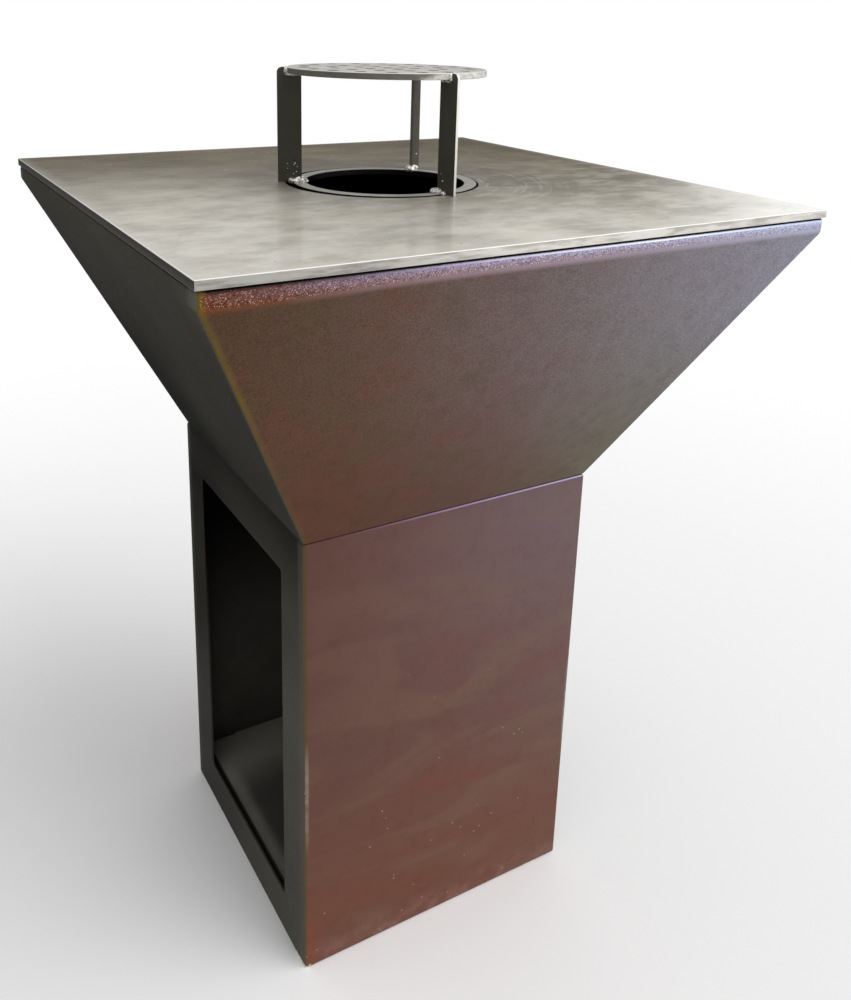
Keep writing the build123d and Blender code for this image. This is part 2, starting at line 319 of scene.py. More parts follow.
class Finish:
    """The node graph of one material. Places are in the part's frame, in metres."""

    def __init__(self, name):
        self.material = bpy.data.materials.new(name)
        self.material.use_nodes = True
        self.nodes = self.material.node_tree.nodes
        self.links = self.material.node_tree.links
        self.shader = self.nodes["Principled BSDF"]
        coordinates = self.nodes.new("ShaderNodeTexCoord")
        self.place = coordinates.outputs["Object"]
        self.normal = coordinates.outputs["Normal"]
        self.x, self.y, self.z = self.split(self.place)
        self.nx, self.ny, self.nz = self.split(self.normal)

    def put(self, socket, value):
        """Links an output to a socket, or sets the socket to a plain value."""
        if isinstance(value, bpy.types.NodeSocket):
            self.links.new(value, socket)
        else:
            socket.default_value = value

    def split(self, vector):
        node = self.nodes.new("ShaderNodeSeparateXYZ")
        self.put(node.inputs[0], vector)
        return node.outputs[0], node.outputs[1], node.outputs[2]

    def math(self, operation, first, second=0.0):
        node = self.nodes.new("ShaderNodeMath")
        node.operation = operation
        self.put(node.inputs[0], first)
        self.put(node.inputs[1], second)
        return node.outputs[0]

    def times(self, first, second):
        return self.math("MULTIPLY", first, second)

    def plus(self, first, second):
        return self.math("ADD", first, second)

    def minus(self, first, second):
        return self.math("SUBTRACT", first, second)

    def absolute(self, value):
        return self.math("ABSOLUTE", value)

    def vector(self, operation, first, second=(0, 0, 0)):
        node = self.nodes.new("ShaderNodeVectorMath")
        node.operation = operation
        self.put(node.inputs[0], first)
        self.put(node.inputs[1], second)
        return node

    def fade(self, value, start, end, low=0.0, high=1.0):
        """From low at start to high at end, smoothly, and level beyond them."""
        node = self.nodes.new("ShaderNodeMapRange")
        node.interpolation_type = "SMOOTHSTEP"
        self.put(node.inputs["Value"], value)
        node.inputs["From Min"].default_value = start
        node.inputs["From Max"].default_value = end
        node.inputs["To Min"].default_value = low
        node.inputs["To Max"].default_value = high
        return node.outputs["Result"]

    def vary(self, noise, low, high):
        """From low to high over the range that noise covers."""
        return self.fade(noise, noise_low, noise_high, low, high)

    def mix(self, share, first, second, blend="MIX"):
        node = self.nodes.new("ShaderNodeMix")
        node.data_type = "RGBA"
        node.blend_type = blend
        self.put(node.inputs[0], share)
        self.put(node.inputs[6], first)
        self.put(node.inputs[7], second)
        return node.outputs[2]

    def ramp(self, value, start, end, colours):
        """Colours spread evenly from a start to an end value."""
        node = self.nodes.new("ShaderNodeValToRGB")
        elements = node.color_ramp.elements
        while len(elements) < len(colours):
            elements.new(1.0)
        for index, colour in enumerate(colours):
            elements[index].position = index / (len(colours) - 1)
            elements[index].color = colour
        span = self.nodes.new("ShaderNodeMapRange")
        self.put(span.inputs["Value"], value)
        span.inputs["From Min"].default_value = start
        span.inputs["From Max"].default_value = end
        self.put(node.inputs[0], span.outputs["Result"])
        return node.outputs[0]

    def shade(self, colour, level):
        """A colour made lighter or darker by a level, where 1 leaves it as it is."""
        return self.mix(1.0, colour, level, blend="MULTIPLY")

    def scaled(self, size, stretch=(1, 1, 1)):
        """The place counted in blots of one size, drawn out along the axes by stretch."""
        node = self.nodes.new("ShaderNodeMapping")
        self.put(node.inputs["Vector"], self.place)
        node.inputs["Scale"].default_value = [1 / (size * share) for share in stretch]
        return node.outputs[0]

    def from_axis(self, centre):
        """The distances along X and Y from an upright axis, and the straight distance."""
        across = self.minus(self.x, centre.x)
        along = self.minus(self.y, centre.y)
        reach = self.math("SQRT", self.plus(self.times(across, across), self.times(along, along)))
        return across, along, reach

    def reach(self, centre):
        """The straight distance from an upright axis."""
        return self.from_axis(centre)[2]

    def rings(self, centre, size, stretch):
        """The place counted in blots of one size round an upright axis, drawn out along rings by stretch."""
        across, along, reach = self.from_axis(centre)
        turns = ring_radius / (size * stretch)
        node = self.nodes.new("ShaderNodeCombineXYZ")
        self.put(node.inputs[0], self.math("DIVIDE", reach, size))
        self.put(node.inputs[1], self.times(self.math("DIVIDE", across, reach), turns))
        self.put(node.inputs[2], self.times(self.math("DIVIDE", along, reach), turns))
        return node.outputs[0]

    def noise(self, size, detail=4.0, rough=0.55, stretch=(1, 1, 1), twist=0.0, place=None):
        """Cloudy noise about 0.5, in blots about one size across, or on a place counted in blots."""
        node = self.nodes.new("ShaderNodeTexNoise")
        self.put(node.inputs["Vector"], place or self.scaled(size, stretch))
        node.inputs["Scale"].default_value = 1
        node.inputs["Detail"].default_value = detail
        node.inputs["Roughness"].default_value = rough
        node.inputs["Distortion"].default_value = twist
        return node.outputs["Fac"]

    def cells(self, size, stretch=(1, 1, 1)):
        """Small cells of one size: a random level from 0 to 1 for each, and the distance from its middle."""
        node = self.nodes.new("ShaderNodeTexVoronoi")
        self.put(node.inputs["Vector"], self.scaled(size, stretch))
        node.inputs["Scale"].default_value = 1
        level = self.nodes.new("ShaderNodeSeparateColor")
        self.put(level.inputs[0], node.outputs["Color"])
        return level.outputs[0], node.outputs["Distance"]

    def flecks(self, size, share, stretch=(1, 1, 1)):
        """1 on a share of small random cells of one size, and 0 on the rest."""
        level, distance = self.cells(size, stretch)
        return self.times(self.math("LESS_THAN", level, share), self.fade(distance, 0.55, 0.25))

    def bump(self, height, depth):
        """A normal bent by a height from 0 to 1, of one depth in metres."""
        node = self.nodes.new("ShaderNodeBump")
        node.inputs["Distance"].default_value = depth
        self.put(node.inputs["Height"], height)
        return node.outputs[0]

    def finish(self, colour, metallic, roughness, normal=None, specular=0.5):
        self.put(self.shader.inputs["Base Color"], colour)
        self.put(self.shader.inputs["Metallic"], metallic)
        self.put(self.shader.inputs["Roughness"], roughness)
        self.shader.inputs["Specular IOR Level"].default_value = specular
        if normal is not None:
            self.put(self.shader.inputs["Normal"], normal)
        return self.material


# Coats
def inward(f):
    """1 on faces that look towards the upright axis, which are the inside of the sheet metal."""
    level = f.vector("MULTIPLY", f.place, (1, 1, 0))
    facing = f.vector("DOT_PRODUCT", level.outputs[0], f.normal)
    return f.fade(facing.outputs["Value"], 0.0, -0.02)


def pebbles(f):
    """The orange-peel height of a textured powder coat, flatter on the pedestal."""
    fine = f.noise(pebble_size, detail=2, rough=0.6)
    broad = f.noise(pebble_cloud_size, detail=1.0)
    height = f.plus(f.times(fine, 0.75), f.times(broad, 0.25))
    relief = f.fade(f.z, pedestal_top - 2 * seam_edge, pedestal_top + 2 * seam_edge, 0.2, 1.0)
    return f.times(height, relief)


def inside_colour(f):
    """Bare dark sheet inside, with painted shade that turns it near black higher up, under the bowl."""
    clouds = f.noise(0.06, detail=5)
    steel = f.mix(clouds, paint(62, 59, 54), paint(84, 80, 73))
    return f.mix(f.fade(f.z, inside_shade_start, inside_shade_end), steel, paint(6, 6, 6))


def bowl_share(f):
    """1 on the bowl and 0 on the pedestal."""
    return f.fade(f.z, pedestal_top - seam_edge, pedestal_top + seam_edge)


def bowl_copper(f):
    """Brown at the left, lilac grey at the right as colour shift and painted sheen, warmer and in painted
    shade at the foot.
    """
    high = [paint(82, 60, 40), paint(95, 73, 62), paint(105, 92, 92)]
    high += [paint(122, 117, 125), paint(135, 134, 150)]
    low = [paint(90, 56, 38), paint(91, 62, 51), paint(86, 79, 57)]
    # The lilac grey at the right is partly the coat's colour shift and partly painted sheen of light from
    # the right
    high_colour = f.ramp(f.x, -rim_half, rim_half, high)
    low_colour = f.ramp(f.x, -pedestal_half, pedestal_half, low)
    # Painted shade: darker and warmer towards the foot of the slope
    colour = f.mix(f.fade(f.z, rim_low + 0.03, pedestal_top, 0.0, 0.9), high_colour, low_colour)
    tints = f.noise(0.07, detail=3, rough=0.6)
    left = f.fade(f.x, 0.15, -0.15, 0.1, 0.32)
    colour = f.mix(f.times(f.fade(tints, 0.5, 0.65), left), colour, paint(104, 62, 50))
    return f.mix(f.times(f.fade(tints, 0.48, 0.35), left), colour, paint(82, 72, 48))


def pedestal_copper(f):
    """Red brown, more lilac towards the top right as colour shift and painted sheen, more orange low down,
    with soft slanting bands.
    """
    across = [paint(95, 65, 58), paint(100, 70, 64), paint(102, 77, 74)]
    colour = f.ramp(f.x, -pedestal_half, pedestal_half, across)
    # More lilac towards the top right: partly the coat's colour shift, partly painted sheen of light from
    # the right
    lilac = f.times(f.fade(f.z, 0.3, pedestal_top, 0.0, 0.7), f.fade(f.x, -pedestal_half, pedestal_half))
    colour = f.mix(lilac, colour, paint(108, 93, 98))
    colour = f.mix(f.fade(f.z, 0.35, 0.05, 0.0, 0.6), colour, paint(113, 70, 50))
    bands = f.noise(0.08, detail=2, stretch=(4, 4, 1), twist=1.0)
    spread = f.times(f.fade(f.x, -0.2, 0.05, 0.6, 1.0), f.fade(f.z, pedestal_top, 0.35, 0.3, 0.45))
    colour = f.mix(f.times(f.fade(bands, 0.47, 0.62), spread), colour, paint(112, 88, 72))
    red = f.times(f.times(f.fade(bands, 0.48, 0.32), spread), f.fade(f.z, 0.6, 0.35, 0.2, 1.0))
    return f.mix(red, colour, paint(112, 62, 52))


def along_side(f):
    """The place along a side as a share of its half width, from -1 to 1, on pedestal and rim alike."""
    half = f.fade(f.z, pedestal_top, pedestal_top + 2 * seam_edge, pedestal_half, rim_half)
    return f.math("DIVIDE", f.x, half)


def rim_share(f):
    return f.fade(f.z, rim_low - rim_edge, rim_low + rim_edge)


def corner_gap(f):
    """How far a point on the bowl's slope lies from the nearest corner, along X."""
    slope = (rim_half - pedestal_half) / (rim_low - pedestal_top)
    half = f.plus(f.times(f.minus(f.z, pedestal_top), slope), pedestal_half)
    return f.minus(f.math("MINIMUM", half, rim_half), f.absolute(f.x))


def seams(f, colour, edge_highlight, highlight_colour, gap):
    """Painted highlight on the rounded top edges of the sheets, and painted shade in the gaps above them."""
    slope = f.minus(f.nz, f.fade(f.z, pedestal_top, pedestal_top + seam_edge, 0.4, 0.0))
    edge = f.times(f.fade(slope, 0.0, 0.12), f.fade(slope, 0.46, 0.28))
    colour = f.mix(f.times(edge, edge_highlight), colour, highlight_colour)
    # Painted shade: near black where the rounded edge turns up into the gap
    return f.mix(f.times(f.fade(slope, 0.42, 0.56), gap), colour, paint(9, 8, 8))


def copper_grain(f, colour):
    """Light and dark grains of the bowl, which fade towards its foot and hardly show on the pedestal."""
    grain = f.noise(copper_grain_size, detail=3, rough=0.65)
    spread = f.fade(f.z, pedestal_top + 0.02, pedestal_top + 0.25, 0.08, 0.85)
    level = f.plus(1.0, f.times(f.minus(grain, 0.5), f.times(spread, 2)))
    return f.shade(colour, level)


def rim_along(f):
    """The place along the rim from 0 at the left to 1 at the right, with the left end drawn out."""
    return f.math("POWER", f.times(f.plus(f.x, rim_half), 0.5 / rim_half), 0.6)


def copper_rim(f, colour):
    """Upright rim: red brown at the left, lilac at the right, painted glints, and painted shadow under the
    plate.
    """
    low = [paint(114, 58, 31), paint(111, 70, 50), paint(140, 117, 122)]
    low += [paint(150, 134, 146), paint(164, 164, 186)]
    # The band's top is lighter and bluer: painted highlight where the upright rim catches the light, over
    # the coat's colour shift
    high = [paint(108, 56, 33), paint(114, 80, 78), paint(152, 138, 162)]
    high += [paint(162, 160, 186), paint(180, 187, 218)]
    along = rim_along(f)
    sagged = f.plus(f.z, f.fade(f.x, -0.15, -0.36, 0.0, 0.005))
    rise = f.fade(sagged, rim_low, bowl_high.z)
    band = f.mix(f.fade(rise, 0.35, 0.75), f.ramp(along, 0, 1, low), f.ramp(along, 0, 1, high))
    colour = f.mix(f.fade(sagged, rim_low - rim_edge, rim_low + 0.004), colour, band)
    grains = f.fade(rise, 0.04, 0.3)
    # Painted glints of light on the coat's flakes, and painted shade in the hollows between them
    level, distance = f.cells(glint_size)
    glint = f.times(f.fade(level, 0.57, 0.96), f.fade(distance, 0.6, 0.15))
    glints = [paint(255, 212, 172), paint(240, 208, 200), paint(248, 236, 252), paint(244, 246, 255)]
    glint = f.times(glint, f.times(grains, f.fade(f.x, -rim_half, 0.0, 0.7, 0.95)))
    colour = f.mix(glint, colour, f.ramp(along, 0, 1, glints))
    hollow_shades = [paint(62, 24, 12), paint(66, 40, 40), paint(84, 74, 100), paint(104, 106, 140)]
    hollow_shade = f.times(f.fade(level, 0.45, 0.0), f.times(grains, 0.7))
    colour = f.mix(hollow_shade, colour, f.ramp(along, 0, 1, hollow_shades))
    # Painted shadow of the plate along the top of the rim, at the left
    under_plate = f.fade(f.z, bowl_high.z - 0.006, bowl_high.z - 0.003)
    shaded = f.times(under_plate, f.fade(f.x, -0.05, -0.25, 0.0, 0.75))
    return f.mix(shaded, colour, paint(34, 22, 20))


def copper_corners(f, colour):
    """A yellow-olive line down the bowl's left corner, and olive on the rounded corners: colour shift
    painted as highlight on the bends.
    """
    left = f.times(f.fade(f.x, 0.05, -0.05), f.fade(f.z, pedestal_top + 0.1, pedestal_top + 0.33, 0.2, 0.9))
    near_corner = f.times(f.fade(corner_gap(f), 0.01, 0.001), bowl_share(f))
    patchy = f.fade(f.noise(0.05, detail=3), 0.35, 0.6, 0.5, 0.9)
    colour = f.mix(f.times(f.times(near_corner, left), patchy), colour, paint(118, 96, 30))
    # Painted highlight: olive on the rounded corners
    corner = f.fade(f.absolute(f.nx), 0.12, 0.55)
    return f.mix(f.times(corner, 0.75), colour, paint(92, 82, 38))


def corner_chip(f, colour):
    """Coat knocked off the foot of the front left corner."""
    ragged = f.times(f.noise(chip_size, detail=3), 0.008)
    near_foot = f.fade(f.plus(f.z, ragged), 0.011, 0.008)
    near_front = f.fade(f.plus(f.plus(f.y, pedestal_half), ragged), 0.036, 0.028)
    near_left = f.fade(f.plus(f.plus(f.x, pedestal_half), ragged), 0.011, 0.008)
    return f.mix(f.times(near_foot, f.times(near_front, near_left)), colour, paint(206, 204, 194))


def foot_chips(f):
    """1 where the coat is chipped, which is mostly along the foot."""
    ragged = f.plus(f.noise(chip_size, detail=4, rough=0.7), f.fade(f.z, 0.008, 0.001, 0.0, 0.22))
    return f.fade(ragged, 0.76, 0.82)


def copper_wear(f, colour):
    """A pale line on the pedestal's corners, scuffs along its foot, and a few pale specks low down."""
    corner = f.minus(pedestal_half, f.absolute(f.x))
    from_rub = f.absolute(f.minus(f.z, pale_line_height))
    line = f.times(f.fade(corner, 0.006, 0.002), f.fade(from_rub, 0.1, 0.03))
    brightened = f.times(line, f.fade(f.noise(0.02, detail=4, rough=0.7), 0.3, 0.6, 0.2, 0.6))
    colour = f.mix(brightened, colour, paint(160, 148, 142))
    scuffs = f.noise(0.03, detail=5, rough=0.7)
    blush = f.times(f.fade(f.z, 0.05, 0.006), f.fade(scuffs, 0.4, 0.64, 0.08, 0.45))
    colour = f.mix(blush, colour, paint(146, 108, 102))
    red = f.times(f.fade(f.plus(f.x, pedestal_half), 0.03, 0.004), f.fade(f.z, 0.12, 0.02, 0.0, 0.35))
    colour = f.mix(red, colour, paint(130, 64, 36))
    colour = f.mix(f.times(foot_chips(f), 0.7), colour, paint(188, 172, 160))
    share = f.fade(f.z, 0.15, 0.03, 0.0014, 0.006)
    specks = f.times(f.flecks(0.003, share), f.fade(f.z, 0.5, 0.2, 0.0, 0.5))
    colour = f.mix(specks, colour, paint(190, 168, 156))
    return corner_chip(f, colour)


def copper_coat():
    """Pebbled metallic coat that shifts from brown to lilac along the front, partly as painted sheen, with
    painted highlights and shade.
    """
    f = Finish("copper_coat")
    colour = f.mix(bowl_share(f), pedestal_copper(f), bowl_copper(f))
    mottle = f.noise(0.02, detail=5, rough=0.7)
    colour = f.mix(f.fade(mottle, 0.45, 0.75, 0.0, 0.14), colour, paint(70, 48, 36))
    colour = copper_grain(f, colour)
    colour = copper_rim(f, colour)
    # Painted highlights on the rounded top edges, stronger towards the right, where the light comes from
    edge_highlight = f.fade(along_side(f), -0.9, 0.1, 0.0, 0.95)
    seam_highlights = [paint(120, 80, 90), paint(150, 118, 152), paint(168, 150, 186), paint(186, 180, 218)]
    rim_highlights = [paint(150, 120, 140), paint(190, 186, 220), paint(240, 247, 255), paint(200, 212, 236)]
    seam_highlight_colour = f.ramp(along_side(f), -1, 1, seam_highlights)
    rim_highlight_colour = f.ramp(along_side(f), -1, 1, rim_highlights)
    colour = seams(f, colour, edge_highlight, f.mix(bowl_share(f), seam_highlight_colour, rim_highlight_colour), 1.0)
    colour = copper_corners(f, colour)
    colour = copper_wear(f, colour)
    colour = f.mix(inward(f), colour, inside_colour(f))
    roughness = f.vary(mottle, 0.42, 0.55)
    return f.finish(colour, 0.1, roughness, f.bump(pebbles(f), copper_pebble_depth), specular=0.1)


def towards_back(f):
    """How far back a place lies, from 0 to 1, on the pedestal below its lintel and low on the bowl."""
    pedestal = f.fade(f.z, lintel_high, lintel_low)
    bowl = f.times(f.fade(f.z, pedestal_top + 0.28, pedestal_top + 0.02), bowl_share(f))
    return f.times(f.fade(f.y, -0.15, 0.2), f.plus(pedestal, bowl))


def dark_coat():
    """The same coat where it shows dark olive grey, painted as on its shaded side: lighter low down, darkest
    under the bowl.
    """
    f = Finish("dark_coat")
    # Painted light and shade up the pedestal: lighter low down, darkest under the bowl
    low = [paint(76, 73, 64), paint(63, 60, 53), paint(69, 66, 58), paint(71, 69, 61)]
    high = [paint(69, 67, 59), paint(63, 61, 54), paint(37, 36, 32)]
    pedestal = f.ramp(f.z, 0, pedestal_top, low + high)
    bowl = f.ramp(f.z, pedestal_top, rim_low, [paint(56, 55, 48), paint(58, 56, 50), paint(69, 67, 59)])
    colour = f.mix(bowl_share(f), pedestal, bowl)
    # Painted shade: darker towards the back, below the lintel and low on the bowl
    colour = f.shade(colour, f.fade(towards_back(f), 0.0, 1.0, 1.0, 0.42))
    clouds = f.noise(0.15, detail=4)
    colour = f.shade(colour, f.vary(clouds, 0.9, 1.1))
    grain = f.noise(dark_grain_size, detail=2, rough=0.6)
    colour = f.shade(colour, f.vary(grain, 0.85, 1.15))
    # Painted highlight on the top edges and painted shade in the gap under the rim
    colour = seams(f, colour, 0.35, paint(70, 68, 62), bowl_share(f))
    # Painted highlight on the rounded corners
    corner = f.fade(f.absolute(f.ny), 0.12, 0.5)
    colour = f.mix(f.times(corner, 0.6), colour, paint(75, 80, 70))
    aside = f.absolute(f.y)
    by_corner = f.fade(aside, pedestal_half - 0.02, pedestal_half - 0.01)
    green = f.times(by_corner, f.fade(f.z, 0.1, pedestal_top, 0.2, 0.4))
    upright = f.minus(1.0, bowl_share(f))
    colour = f.mix(f.times(green, upright), colour, paint(86, 92, 78))
    worn = f.fade(aside, pedestal_half - 0.006, pedestal_half - 0.002, 0.0, 0.4)
    colour = f.mix(f.times(worn, upright), colour, paint(100, 74, 58))
    # Painted highlight on the rounded corners of the rim
    pale = f.times(f.fade(aside, rim_half - 0.03, rim_half - 0.008), rim_share(f))
    colour = f.mix(f.times(pale, 0.6), colour, paint(96, 99, 88))
    specks = f.math("MAXIMUM", foot_chips(f), f.flecks(0.0035, 0.0006))
    colour = f.mix(f.times(specks, 0.55), colour, paint(168, 166, 158))
    colour = corner_chip(f, colour)
    colour = f.mix(inward(f), colour, inside_colour(f))
    return f.finish(colour, 0.0, 0.5, f.bump(pebbles(f), dark_pebble_depth), specular=0.06)


# Steels
def plate_wear(f, colour):
    """Ground patches, marks that are plainer in front, specks, a dull stain and wipes beside the ring."""
    broad = f.noise(0.12, detail=3)
    colour = f.shade(colour, f.vary(broad, 0.9, 1.1))
    patches = f.noise(0.06, detail=5, rough=0.6, stretch=(1.4, 1, 1))
    colour = f.shade(colour, f.fade(patches, 0.34, 0.66, 0.9, 1.1))
    coarse = f.noise(0.045, detail=4, rough=0.55, stretch=(1.5, 1, 1))
    fine = f.noise(0.011, detail=3, rough=0.55, stretch=(2, 1, 1))
    marks = f.plus(f.times(coarse, 0.65), f.times(fine, 0.35))
    bare = f.fade(f.y, 0.2, -0.3, 0.06, 0.6)
    colour = f.mix(f.times(f.fade(marks, 0.46, 0.62), bare), colour, paint(220, 217, 208))
    colour = f.mix(f.fade(marks, 0.48, 0.35, 0.0, 0.22), colour, paint(104, 99, 86))
    colour = f.mix(f.times(f.flecks(0.0035, 0.002), 0.5), colour, paint(64, 60, 54))
    colour = f.mix(f.times(f.flecks(0.0025, 0.002, stretch=(2, 1, 1)), 0.8), colour, paint(238, 236, 231))
    place = f.rings(ring_centre, wipe_width, wipe_stretch)
    reach = f.reach(ring_centre)
    colour = f.shade(colour, f.fade(reach, 0.26, 0.14, 1.0, 0.88))
    stain_reach = f.reach(ring_centre + stain_offset)
    stained = f.mix(1.0, colour, stain_tint, blend="MULTIPLY")
    colour = f.mix(f.fade(stain_reach, 0.26, 0.1), colour, stained)
    beside = f.times(f.fade(reach, 0.3, 0.17), f.fade(f.x, ring_centre.x, ring_centre.x + 0.1))
    beside = f.times(beside, f.fade(f.y, 0.06, -0.06, 0.3, 1.0))
    wipes = f.times(f.fade(f.noise(1, detail=3, rough=0.6, place=place), 0.52, 0.66), beside)
    return f.mix(f.times(wipes, 0.42), colour, paint(206, 202, 192))


def plate_edge(f):
    """Sawn edge of the plate, with painted light at the front and back and painted shade at the sides, most
    at their top.
    """
    patches = f.noise(0.02, detail=5, rough=0.65, stretch=(3, 3, 0.4))
    light = f.mix(f.fade(patches, 0.38, 0.6), paint(166, 163, 155), paint(208, 205, 198))
    dark = f.mix(patches, paint(70, 68, 62), paint(104, 100, 93))
    dark = f.shade(dark, f.fade(f.z, plate_top - 0.003, plate_top - 0.008, 0.86, 1.25))
    return f.mix(f.fade(f.absolute(f.nx), 0.4, 0.7), light, dark)


def griddle_steel():
    """Worn plate with painted light in front, painted shade towards the back, a painted highlight on its rim
    and a sooty, shaded hole.
    """
    f = Finish("griddle_steel")
    clouds = f.noise(0.2, detail=4, rough=0.6)
    # Painted light and shade: lighter in front, darker towards the back
    shade_towards_back = f.plus(f.plus(f.y, f.times(f.x, 0.4)), f.times(f.minus(clouds, 0.5), 0.3))
    colour = f.mix(f.fade(shade_towards_back, -0.42, 0.28), paint(201, 196, 184), paint(126, 117, 97))
    # Painted reflection: lighter at the front right corner
    front_right_glare = f.minus(f.x, f.y)
    colour = f.mix(f.fade(front_right_glare, 0.45, 0.78, 0.0, 0.8), colour, paint(226, 225, 219))
    colour = plate_wear(f, colour)
    far = f.math("MAXIMUM", f.absolute(f.x), f.absolute(f.y))
    worn = f.fade(far, plate_half - 0.02, plate_half - 0.003, 0.0, 0.25)
    colour = f.mix(worn, colour, paint(214, 212, 206))
    edge = f.fade(f.absolute(f.nz), 0.6, 0.3)
    colour = f.mix(edge, colour, plate_edge(f))
    # Painted highlight along the eased top edge
    brightened = f.times(f.fade(far, plate_half - 0.0025, plate_half - 0.001), f.fade(f.nz, 0.15, 0.4))
    colour = f.mix(f.times(brightened, 0.8), colour, paint(240, 238, 233))
    # The hole's wall: black, for soot and painted shade of the gap round the ring
    hole = f.times(edge, f.fade(far, plate_half / 2 + 0.001, plate_half / 2))
    colour = f.mix(hole, colour, paint(12, 11, 10))
    roughness = f.vary(clouds, 0.4, 0.5)
    f.shader.inputs["Coat Weight"].default_value = plate_gloss
    f.shader.inputs["Coat Roughness"].default_value = plate_gloss_roughness
    grain = f.noise(0.006, detail=4, stretch=(4, 1, 1))
    return f.finish(colour, 0.5, roughness, f.bump(grain, 0.00008), specular=0.25)


def riser_facing(f):
    """1 where a face looks straight out from the riser's upright axis, and -1 where it looks in at it."""
    out = f.vector("SUBTRACT", f.place, ring_centre)
    level = f.vector("MULTIPLY", out.outputs[0], (1, 1, 0))
    unit = f.vector("NORMALIZE", level.outputs[0])
    facing = f.vector("DOT_PRODUCT", unit.outputs[0], f.normal)
    return facing.outputs["Value"]


def mill_scale_steel():
    """Hot-rolled bar: dark scale on its faces, bright ground metal on its outer edges, painted lighter on
    the rear leg.
    """
    f = Finish("mill_scale_steel")
    clouds = f.noise(0.03, detail=5, rough=0.65)
    colour = f.mix(clouds, paint(54, 52, 46), paint(72, 69, 61))
    # Painted light: the rear leg, which faces the light, is lighter
    colour = f.shade(colour, f.fade(f.y, 0.05, 0.08, 1.0, 1.7))
    facing = riser_facing(f)
    cut = f.math("MAXIMUM", f.fade(facing, 0.45, 0.75), f.fade(f.nz, 0.35, 0.6))
    ground = f.noise(0.003, detail=4, rough=0.7, stretch=(1, 1, 6))
    colour = f.mix(cut, colour, f.mix(ground, paint(190, 187, 180), paint(240, 238, 232)))
    inner = f.fade(facing, -0.45, -0.75)
    colour = f.mix(f.times(inner, 0.6), colour, f.mix(ground, paint(88, 85, 76), paint(150, 147, 138)))
    metallic = f.fade(cut, 0.0, 1.0, 0.0, 0.9)
    roughness = f.fade(cut, 0.0, 1.0, 0.55, 0.36)
    return f.finish(colour, metallic, roughness, f.bump(f.noise(0.002, detail=3), 0.00008), specular=0.15)


def disc_rim(f):
    """Rolled edge of the disc: dull at the left, with painted light from the right leg on, its foot first.
    """
    rolled = f.noise(0.01, detail=4, rough=0.6, stretch=(1, 1, 0.5))
    greys = [paint(96, 93, 86), paint(112, 109, 101)]
    dull = f.ramp(f.x, ring_centre.x - grille_radius, ring_centre.x, greys)
    dull = f.shade(dull, f.vary(rolled, 0.9, 1.1))
    middle = (grille_low.z + grille_high.z) / 2
    # Painted light: the rim brightens from the right leg on, where light falls on it
    right = f.plus(f.plus(f.x, f.times(f.minus(middle, f.z), 3)), f.times(rolled, 0.02))
    brightened = f.fade(right, ring_centre.x - 0.02, ring_centre.x + 0.022)
    bright = f.mix(f.fade(rolled, 0.35, 0.65), paint(192, 189, 183), paint(228, 226, 220))
    return f.mix(brightened, dull, bright)


def grille_steel():
    """Ground, heat-worn steel of the ring and the perforated disc, with painted shade: dark in holes and
    black in the gap.
    """
    f = Finish("grille_steel")
    clouds = f.noise(0.03, detail=4, rough=0.6)
    colour = f.mix(f.vary(clouds, 0.0, 1.0), paint(180, 178, 171), paint(156, 153, 145))
    upright = f.absolute(f.nz)
    on_disc = f.fade(f.z, plate_top + 0.01, plate_top + 0.02)
    colour = f.shade(colour, f.fade(on_disc, 0.0, 1.0, 1.1, 1.0))
    reach = f.reach(ring_centre)
    outside = f.times(f.fade(reach, grille_radius - 0.0025, grille_radius - 0.0015), on_disc)
    wall = f.fade(upright, 0.5, 0.3)
    colour = f.mix(f.times(wall, outside), colour, disc_rim(f))
    # Painted highlight on the rounded top edge of the disc
    bright = f.times(f.times(f.fade(f.nz, 0.3, 0.5), f.fade(f.nz, 0.98, 0.9)), outside)
    colour = f.mix(f.times(bright, 0.8), colour, paint(240, 238, 232))
    inside = f.minus(1.0, outside)
    # Walls in the holes and the gap: soot, with painted shade, dark grey in the holes and near black in the
    # gap
    soot = f.mix(on_disc, paint(12, 11, 10), paint(84, 81, 73))
    colour = f.mix(f.times(f.fade(upright, 0.98, 0.85), inside), colour, soot)
    metallic = f.fade(wall, 0.0, 1.0, 0.6, 0.1)
    roughness = f.vary(clouds, 0.34, 0.44)
    return f.finish(colour, metallic, roughness, f.bump(clouds, 0.0001), specular=0.2)


def weld_metal():
    """Bright weld with soot-dark creases and a little heat tint."""
    f = Finish("weld_metal")
    clouds = f.noise(0.004, detail=4, rough=0.7)
    colour = f.mix(f.fade(clouds, 0.46, 0.66), paint(242, 240, 234), paint(112, 106, 98))
    return f.finish(colour, 0.8, f.vary(clouds, 0.25, 0.5), f.bump(f.noise(0.001), 0.0001))


